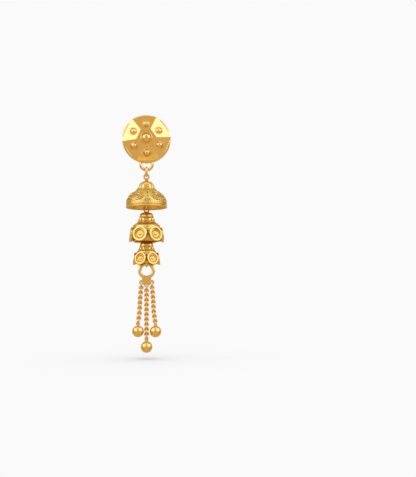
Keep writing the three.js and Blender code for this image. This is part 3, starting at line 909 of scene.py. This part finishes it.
# %% A medallion
def medallion(radius, rise, thickness):
    """A round medallion that faces the front: a broad polished rim, a trough, a ring and a bead."""
    profile = [
        (0, -thickness), (0.8, -thickness), (0.93, -0.4 * thickness), (1, 0),
        (1, 0.7 * rise), (0.985, 0.9 * rise), (0.95, rise), (0.8, rise), (0.765, 0.9 * rise),
        (0.75, 0.65 * rise), (0.735, 0.15 * rise), (0.71, 0.02 * rise), (0.6, 0.02 * rise),
        (0.575, 0.12 * rise), (0.56, 0.4 * rise), (0.525, 0.52 * rise), (0.49, 0.4 * rise),
        (0.475, 0.15 * rise), (0.45, 0.06 * rise), (0.3, 0.06 * rise), (0.27, 0.3 * rise),
        (0.22, 0.62 * rise), (0.13, 0.84 * rise), (0, 0.9 * rise),
    ]
    disc = turned([(share * radius, height) for share, height in profile], 64)
    disc.rotation_euler = (math.pi / 2, 0, 0)
    settled(disc)
    smooth(disc, 50)
    beads = []
    for place, size, count in ((0.655, 0.055, 30), (0.38, 0.05, 18)):
        bead = grain(size, size, size, 1)
        bead.location = (0, -0.05 * rise, place * radius)
        settled(bead)
        beads.append(arrayed(bead, [Matrix.Rotation(math.tau * i / count, 4, "Y") for i in range(count)]))
    disc.data.materials.append(raised_gold)
    for bead in beads:
        bead.data.materials.append(raised_gold)
    return fused("medallion", [disc, *beads])


# %% [markdown]
# A drop is built like the bell, from a pierced wall, a stem and a lining. It is then dressed with
# ribs, hoops, granules, small beads and the medallions, each with a scallop of wire behind its
# top. The dome sits in the shade of the tier above and sees only gold, so it takes the gold of
# the insides, with its painted orange glow.

# %% Both drops
MEDALLIONS = 6
LEAN = 8.0  # degrees, of the medallions' tops towards the plumb line


def medallion_drop(node, spec):
    """Builds a drop from its sizes in millimetres; the frame says how high it hangs."""
    _, _, _, high = span(node)
    eye_at = high - spec["eye"] - spec["eye_wire"]
    top = eye_at - spec["eye"]
    collar_top = top - spec["crown_height"]
    collar_foot = collar_top - spec["collar_height"]
    shoulder = collar_foot - spec["shoulder_height"]
    foot = shoulder - spec["body_height"]
    crown, collar, body = spec["crown_radius"], spec["collar_radius"], spec["body_radius"]
    half_way, slope_middle = (collar + body) / 2, (collar_foot + shoulder) / 2
    drum = [(body - 0.06, shoulder), (body, shoulder - 0.12), (body, foot + 0.08), (body - 0.05, foot)]
    wall = turned([
        (0, top), *curved([(crown * 0.35, top - 0.01), (crown * 0.84, top - 0.3 * spec["crown_height"]),
                           (crown, collar_top)]),
        (crown, collar_foot), (collar + 0.05, collar_foot - 0.02),
        *curved([(collar + 0.1, collar_foot - 0.05), (half_way + 0.05, slope_middle),
                 (body - 0.12, shoulder + 0.04)]),
        *drum, (body - 0.3, foot), (body - 0.34, shoulder - 0.1), (collar - 0.3, collar_foot - 0.2),
        (crown - 0.3, collar_top), (0, top - 0.7),
    ], 72)
    pin = coin(0, 0, 0.17, thickness=1.2, sides=20)
    pin.scale = (0.8, 1, 1.5)
    settled(pin)
    height = shoulder - spec["piercing_drop"]
    cut_by(wall, fused("piercings", copies(pin, list(around(MEDALLIONS, spec["turn"], body, height)))))
    smooth(wall, 35)

    ribs = ribbed([
        (collar * 0.97, collar_foot - 0.02), (collar * 1.02, collar_foot + 0.2 * spec["collar_height"]),
        (collar * 1.0, collar_foot + 0.55 * spec["collar_height"]), (collar * 0.9, collar_top - 0.08),
        (collar * 0.8, collar_top),
    ], 8, 0.22, 2)
    wall.data.materials.append(chased_gold)
    dome_line = curved([
        (crown * 0.35, top + 0.01), (crown * 0.86, top - 0.29 * spec["crown_height"]),
        (crown + 0.02, collar_top),
    ])
    # The dome takes the painted orange glow of the insides.
    dome = turned([(0, top + 0.02), *dome_line, (crown - 0.2, collar_top), (0, top - 0.3)], 72)
    dome.data.materials.append(inside_glow_gold)
    # The lining carries the painted orange glow too.
    liner = turned([
        (body - 0.32, foot + 0.05), (body - 0.36, shoulder - 0.12),
        (collar - 0.32, collar_foot - 0.22), (0.3, collar_foot - 0.3),
    ], 48)
    liner.data.materials.append(inside_glow_gold)
    ribs.data.materials.append(raised_gold)
    parts = [wall, dome, liner, ribs]
    parts.append(arrayed(grain(0.13, 0.13, 0.2), list(
        around(8, 0, collar * 0.93, collar_foot + 0.4 * spec["collar_height"])
    )))
    hoops = (
        (crown * 0.97, 0.09, collar_top + 0.05), (collar + 0.06, 0.09, collar_foot - 0.02),
        (body - 0.02, 0.07, shoulder - 0.02), (body - 0.05, 0.08, foot + 0.04),
    )
    for ring, wire, at in hoops:
        hoop = wire_ring(ring, wire, 96, 10, facing="FLAT", seam=False)
        hoop.location.z = at
        parts.append(settled(hoop))
    face = medallion(spec["medallion"], spec["rise"], 0.5)
    ring_of = body + spec["stand"]
    between = 180 / MEDALLIONS
    middle = shoulder - spec["place"]
    faces = copies(face, list(around(MEDALLIONS, spec["turn"] + between, ring_of, middle, LEAN)))
    for one in faces:
        smooth(one, 50)
    parts += faces
    scallop = wire_ring(spec["medallion"] * 0.95, 0.07, 48, 8, seam=False)
    select_faces(scallop, lambda at, _: at.z < spec["medallion"] * 0.35)
    bpy.ops.mesh.delete(type="FACE")
    bpy.ops.object.mode_set(mode="OBJECT")
    scallop.location = (0, 0.22, 0.26)
    parts += copies(settled(scallop), list(around(
        MEDALLIONS, spec["turn"] + between, ring_of - 0.12, middle, spec["scallop_lean"]
    )))
    below = spec["piercing_drop"]
    for drop, size in ((0.3, 0.12), (below + 0.55, 0.13), (below + 0.9, 0.1)):
        parts.append(arrayed(grain(size, size, size * 1.3), list(
            around(MEDALLIONS, spec["turn"], body, shoulder - drop)
        )))
    parts.append(arrayed(grain(0.07, 0.07, 0.07, 1), list(
        around(48, 0, half_way + 0.04, slope_middle + 0.02)
    )))
    inner = eye_at - spec["eye_to_eye"]
    stem = turned([(0, top - 0.3), (STEM, top - 0.3), (STEM, inner + 0.45), (0, inner + 0.42)], 20)
    parts += [stem, hanging_eye(eye_at, spec["eye"], spec["eye_wire"]),
              hanging_eye(inner, spec["inner_eye"], spec["inner_wire"])]
    finish(fused(node, parts), node, node, chased_gold)


MIDDLE = dict(
    eye=0.46, eye_wire=0.17, inner_eye=0.46, inner_wire=0.17, eye_to_eye=4.16,
    crown_radius=1.42, crown_height=1.0, collar_radius=1.72, collar_height=1.0,
    shoulder_height=0.7, body_radius=2.72, body_height=3.2,
    medallion=1.52, rise=0.3, stand=0.3, place=1.86, turn=5.6, piercing_drop=1.25, scallop_lean=24,
)
LOWER = dict(
    eye=0.42, eye_wire=0.16, inner_eye=0.42, inner_wire=0.18, eye_to_eye=3.99,
    crown_radius=1.37, crown_height=1.22, collar_radius=1.6, collar_height=0.76,
    shoulder_height=0.55, body_radius=2.12, body_height=2.1,
    medallion=1.25, rise=0.27, stand=0.22, place=1.18, turn=0, piercing_drop=0.7, scallop_lean=24,
)
for node, spec in (("middle_drop", MIDDLE), ("lower_drop", LOWER)):
    medallion_drop(node, spec)

# %% [markdown]
# ## The tassel
# A flat fan hangs on the last link. Its web and three ears are cut from one sheet: the blanks are
# united, the holes are cut through, and a bevel takes off the sharp edges. Over the large hole
# lies a thick wire ring, hammered flatter, with the edge of the sheet inside it.

# %% Fan
_, _, _, fan_high = span("tassel_fan")
FAN_THICKNESS = 0.4
FAN_RADIUS, FAN_HOLE = 1.7, 1.02
EAR_RADIUS, EAR_HOLE = 0.48, 0.2
HAMMERED = 0.62  # the depth of the flattened ring, as a share of its wire
fan_hole = fan_high - FAN_RADIUS

# The chains' routes as shares of the tassel's half width and length: x from the plumb line and
# how far below the middle of the fan's large hole. The last point is the middle of the ball.
TASSEL_HALF_WIDTH, TASSEL_LENGTH = 1.78, 15.25
ROUTE_SHARES = {
    "left": [(-0.573, 0.154), (-0.72, 0.351), (-0.79, 0.534), (-0.96, 0.795)],
    "middle": [(0, 0.1915), (0, 1)],
    "right": [(0.607, 0.154), (0.725, 0.351), (0.81, 0.534), (1, 0.8)],
}
ROUTES = {
    side: [(x * TASSEL_HALF_WIDTH, drop * TASSEL_LENGTH) for x, drop in shares]
    for side, shares in ROUTE_SHARES.items()
}
WEB_WIDTH = 1.8
WEB_TOP, WEB_FOOT = 1.65, 2.5  # below the middle of the large hole
bpy.ops.mesh.primitive_cube_add(size=1)
web = bpy.context.object
web.scale = (WEB_WIDTH, FAN_THICKNESS * 0.98, WEB_FOOT - WEB_TOP)
web.location = (0.02, 0, fan_hole - (WEB_TOP + WEB_FOOT) / 2)
settled(web)
select_faces(web, lambda at, normal: normal.z < -0.9)  # the foot widens, then narrows to a tip
bpy.ops.transform.resize(value=(1.3, 1, 1))
bpy.ops.mesh.extrude_region_move(TRANSFORM_OT_translate={"value": (0, 0, -0.45)})
bpy.ops.transform.resize(value=(0.42, 1, 1))
select_faces(web, lambda at, normal: normal.z > 0.9)  # the top reaches up under the ring
bpy.ops.mesh.extrude_region_move(TRANSFORM_OT_translate={"value": (0, 0, 0.35)})
bpy.ops.object.mode_set(mode="OBJECT")
fan = coin(0, fan_hole, FAN_RADIUS - 0.05, FAN_THICKNESS / 2, 96)
ears = [
    coin(route[0][0], fan_hole - route[0][1], EAR_RADIUS, FAN_THICKNESS)
    for route in ROUTES.values()
]
for blank in (web, *ears):
    modifier(fan, "BOOLEAN", operation="UNION", solver="EXACT", object=blank)
    only(blank)
    bpy.ops.object.delete()
cut_by(fan, coin(0, fan_hole, FAN_HOLE + 0.05, 1, 96))
for route in ROUTES.values():
    cut_by(fan, coin(route[0][0], fan_hole - route[0][1], EAR_HOLE, 1, 32))
modifier(fan, "BEVEL", width=0.19, segments=6, limit_method="ANGLE", angle_limit=math.radians(50))
smooth(fan, 45)
hoop = wire_ring((FAN_RADIUS + FAN_HOLE) / 2, (FAN_RADIUS - FAN_HOLE) / 2, 96, 24, seam=False)
hoop.scale.y = HAMMERED
hoop.location.z = fan_hole
fan = fused("fan", [fan, settled(hoop)])
finish(fan, "tassel_fan", "tassel", bright_gold)

# %% [markdown]
# The chains are cable chains of wide, band-like links: every second link faces the front, closed
# with a dot of solder, and the ones between stand edge-on. A round link hangs in the fan's ear,
# and another holds the ball's eye. A route is a smooth curve through a few listed points.
# One link is modelled, and the copies walk down the route at even steps, each in the one above.

# %% Chains and balls
LINK_STEP = 0.48  # from the middle of one link to the middle of the next, or a little more
FIRST_STEP = 0.25  # from the inside of the top link to the middle of the next
BAND_RADIUS, BAND_WIRE = 0.375, 0.13
TOP_RADIUS, TOP_WIRE = 0.49, 0.13
BALL_EYE_RADIUS, BALL_EYE_WIRE = 0.26, 0.09
END_RADIUS, END_WIRE = 0.3, 0.12  # of the link that the ball's eye hangs in
WASHER_RADIUS, WASHER_WIRE = 0.24, 0.07  # between a ball and its eye
BAND_WIDTH = 2.2  # the width of a link along its axis, in widths of its wire
LINK_GAP = 0.05  # air between a link and what it hangs in
reach = math.sqrt((TOP_RADIUS - TOP_WIRE) ** 2 - (FAN_THICKNESS / 2) ** 2)
top_drop = EAR_HOLE + reach - LINK_GAP  # from the middle of an ear to the middle of the top link


def walked(points, first, pitch):
    """Places at even steps along a smooth line: each is a point and its tilt from plumb."""
    line = [Vector((x, z)) for x, z in points]
    lengths = [0.0]
    for a, b in zip(line, line[1:]):
        lengths.append(lengths[-1] + (b - a).length)
    steps = int((lengths[-1] - first) / pitch)
    for i in range(steps + 1):
        along = first + (lengths[-1] - first) * i / steps
        k = max(j for j in range(len(line) - 1) if lengths[j] <= along + 1e-9)
        direction = line[k + 1] - line[k]
        at = line[k] + direction * ((along - lengths[k]) / direction.length)
        yield at, math.atan2(-direction.x, -direction.y)


def link_matrix(at, tilt, edge_on):
    """Where a link stands, tilted with the route and turned to the side if it is edge-on."""
    turn = Matrix.Rotation(math.pi / 2, 4, "Z") if edge_on else Matrix.Identity(4)
    return Matrix.Translation((at.x, 0, at.y)) @ Matrix.Rotation(tilt, 4, "Y") @ turn


for side, route in ROUTES.items():
    _, _, ball_low, _ = span("ball_" + side)
    ball_at = fan_hole - route[-1][1]
    ball_radius = ball_at - ball_low
    eye_rise = ball_radius + BALL_EYE_RADIUS / 2
    points = [(x, fan_hole - drop) for x, drop in route]
    points[0] = (points[0][0], points[0][1] - top_drop)
    last_wire = ball_at + eye_rise + BALL_EYE_RADIUS - BALL_EYE_WIRE - LINK_GAP - END_WIRE
    points[-1] = (points[-1][0], last_wire + END_RADIUS)
    first = TOP_RADIUS - TOP_WIRE + FIRST_STEP
    places = list(walked(smooth_line(points, 24), first, LINK_STEP))
    matrices = [link_matrix(at, tilt, i % 2 == 1) for i, (at, tilt) in enumerate(places)]
    band = wire_ring(BAND_RADIUS, BAND_WIRE, 28, 10, seam=False)
    band.scale.y = BAND_WIDTH
    dot = grain(0.2, 0.42, 0.17)
    chain = fused("links", [arrayed(settled(band), matrices[:-1]), arrayed(dot, matrices[:-1:2])])
    last = arrayed(wire_ring(END_RADIUS, END_WIRE, 28, 10, seam=False), matrices[-1:])
    top = wire_ring(TOP_RADIUS, TOP_WIRE, 32, 10, facing="SIDE", seam=False)
    top.location = (points[0][0], 0, points[0][1])
    finish(fused("chain", [chain, last, settled(top)]), "chain_" + side, "tassel", wire_gold)

    bpy.ops.mesh.primitive_uv_sphere_add(segments=64, ring_count=32, radius=ball_radius)
    ball = smooth(bpy.context.object, 80)
    facing = "FRONT" if len(places) % 2 == 0 else "SIDE"
    eye = wire_ring(BALL_EYE_RADIUS, BALL_EYE_WIRE, 32, 10, facing=facing, seam=False)
    eye.location.z = eye_rise
    washer = wire_ring(WASHER_RADIUS, WASHER_WIRE, 32, 10, facing="FLAT", seam=False)
    washer.location.z = ball_radius - 0.03
    ball = fused("ball", [ball, settled(eye), settled(washer)])
    ball.location = (route[-1][0], 0, ball_at)
    finish(ball, "ball_" + side, "tassel", bright_gold)

# %% [markdown]
# ## The studio
# The earring hangs in front of a white sweep with its balls just off the table. The table gives
# off the sweep's own white, so no edge shows, and a painted shadow dims it only where the balls
# hide the sky from it. The camera sees the sweep, but the gold reflects a warm, dimmer room that is
# darkest at the sides. That keeps the gold deep where no light is reflected.

# %% Table and sweep
SWEEP_WHITE = 0.956
FLOOR_GAP = 0.0012
FLOOR_SIZE = 0.6
SHADOW_REACH = 0.05
SHADED, UNSHADED = 0.62, 0.965  # how much of the sky a place sees, under a ball and far from it
SHADOW_TONE = 0.4
bpy.ops.mesh.primitive_plane_add(size=FLOOR_SIZE)
table = bpy.context.object
table.name = "table"
table.location = (0, plumb * MM, cad_low[2] - FLOOR_GAP)
settled(table)
paper = bpy.data.materials.new("white_table_painted_shadow")
paper.use_nodes = True
tree = paper.node_tree
shader = tree.nodes["Principled BSDF"]
shader.inputs["Base Color"].default_value = (0, 0, 0, 1)
shader.inputs["Specular IOR Level"].default_value = 0
shader.inputs["Emission Strength"].default_value = 1
# Painted shadow: ambient occlusion dims the table's emitted white under the earring.
sky = add(tree, "ShaderNodeAmbientOcclusion", samples=32, Distance=SHADOW_REACH)
dim = add(tree, "ShaderNodeMapRange", **{
    "From Min": SHADED, "From Max": UNSHADED, "To Min": SHADOW_TONE, "To Max": SWEEP_WHITE,
})
connect(tree, (sky, "AO", dim, "Value"), (dim, "Result", shader, "Emission Color"))
table.data.materials.append(paper)
table.visible_glossy = False
table.visible_diffuse = False

ROOM_TONE = (0.61, 0.48, 0.3, 1)
SIDE_TONE = (0.46, 0.3, 0.11, 1)
SIDE_FROM, SIDE_FULL = 0.78, 0.97  # how far to the side the darker tone starts and is full
world = bpy.data.worlds.new("sweep")
bpy.context.scene.world = world
world.use_nodes = True
tree = world.node_tree
background = tree.nodes["Background"]
seen = add(tree, "ShaderNodeLightPath")
tone = add(tree, "ShaderNodeMix", data_type="RGBA")
toward = add(tree, "ShaderNodeTexCoord")
toward_parts = add(tree, "ShaderNodeSeparateXYZ")
sideways = add(tree, "ShaderNodeMath", operation="ABSOLUTE")
at_side = add(tree, "ShaderNodeMapRange", **{
    "From Min": SIDE_FROM, "From Max": SIDE_FULL, "interpolation_type": "SMOOTHSTEP",
})
room = add(tree, "ShaderNodeMix", data_type="RGBA")
room.inputs["A"].default_value = ROOM_TONE
room.inputs["B"].default_value = SIDE_TONE
tone.inputs["B"].default_value = (SWEEP_WHITE, SWEEP_WHITE, SWEEP_WHITE, 1)
connect(
    tree,
    (toward, "Generated", toward_parts, 0),
    (toward_parts, "X", sideways, 0),
    (sideways, 0, at_side, "Value"),
    (at_side, "Result", room, "Factor"),
    (room, "Result", tone, "A"),
    (seen, "Is Camera Ray", tone, "Factor"),
    (tone, "Result", background, "Color"),
)
print("table", round(1000 * (cad_low[2] - table.data.vertices[0].co.z), 2), "mm below the lowest ball")

# %% [markdown]
# Gold shows what surrounds it, so the lights are large and soft: a panel on each side, a little
# above, that the facets and the medallions' rims catch, and a weaker one overhead. A small warm
# card low in front gives the undersides their orange.

# %% Soft panels
middle_of_light = Vector((0, plumb * MM, -0.02))
PANEL_AWAY = 0.4
COOL_WHITE = (0.8, 0.77, 1.0)  # which gold turns to cream
WARM_WHITE = (1, 0.97, 0.92)
ORANGE = (1, 0.55, 0.08)


def panel(name, azimuth, elevation, width, height, brightness, colour):
    """A soft panel that faces the earring. Azimuth is from the front towards +X, in degrees."""
    a, e = math.radians(azimuth), math.radians(elevation)
    away = Vector((math.sin(a) * math.cos(e), -math.cos(a) * math.cos(e), math.sin(e)))
    bpy.ops.object.light_add(type="AREA", location=middle_of_light + away * PANEL_AWAY)
    light = bpy.context.object
    light.name = name
    light.rotation_euler = away.to_track_quat("Z", "Y").to_euler()
    light.data.shape = "RECTANGLE"
    light.data.size = width
    light.data.size_y = height
    light.data.energy = brightness * math.pi * width * height
    light.data.color = colour
    print(name, round(light.data.energy, 3), "watts")


panel("left_panel", -60, 29, width=0.46, height=0.36, brightness=1.5, colour=COOL_WHITE)
panel("right_panel", 60, 30, width=0.46, height=0.36, brightness=1.5, colour=COOL_WHITE)
panel("top_panel", 0, 84, width=0.3, height=0.3, brightness=0.5, colour=WARM_WHITE)
panel("warm_card", 4, -30, width=0.12, height=0.06, brightness=0.5, colour=ORANGE)

# %% [markdown]
# The camera stands low, level with the upper part of the chains. It looks up and past the earring
# to the right, because the photo shows the earring left of its middle. It leans by a hair too.

# %% Camera
CAMERA_BACK = 150.0
CAMERA_ASIDE, CAMERA_HEIGHT = 0.1, -32.8
AIM_ASIDE, AIM_HEIGHT = 12.48, -20.36
LENS = 55.96
ROLL = -0.42  # degrees, by which the photo's camera leans
bpy.ops.object.camera_add(location=Vector((CAMERA_ASIDE, plumb - CAMERA_BACK, CAMERA_HEIGHT)) * MM)
camera = bpy.context.object
aim = Vector((AIM_ASIDE, plumb, AIM_HEIGHT)) * MM
camera.rotation_euler = (aim - camera.location).to_track_quat("-Z", "Y").to_euler()
camera.rotation_euler.rotate_axis("Z", math.radians(ROLL))
camera.data.lens = LENS
camera.data.clip_start = 0.005
bpy.context.scene.camera = camera
bpy.context.scene.view_settings.view_transform = "Standard"
print("camera", CAMERA_BACK, "mm back, lens", LENS, "mm")
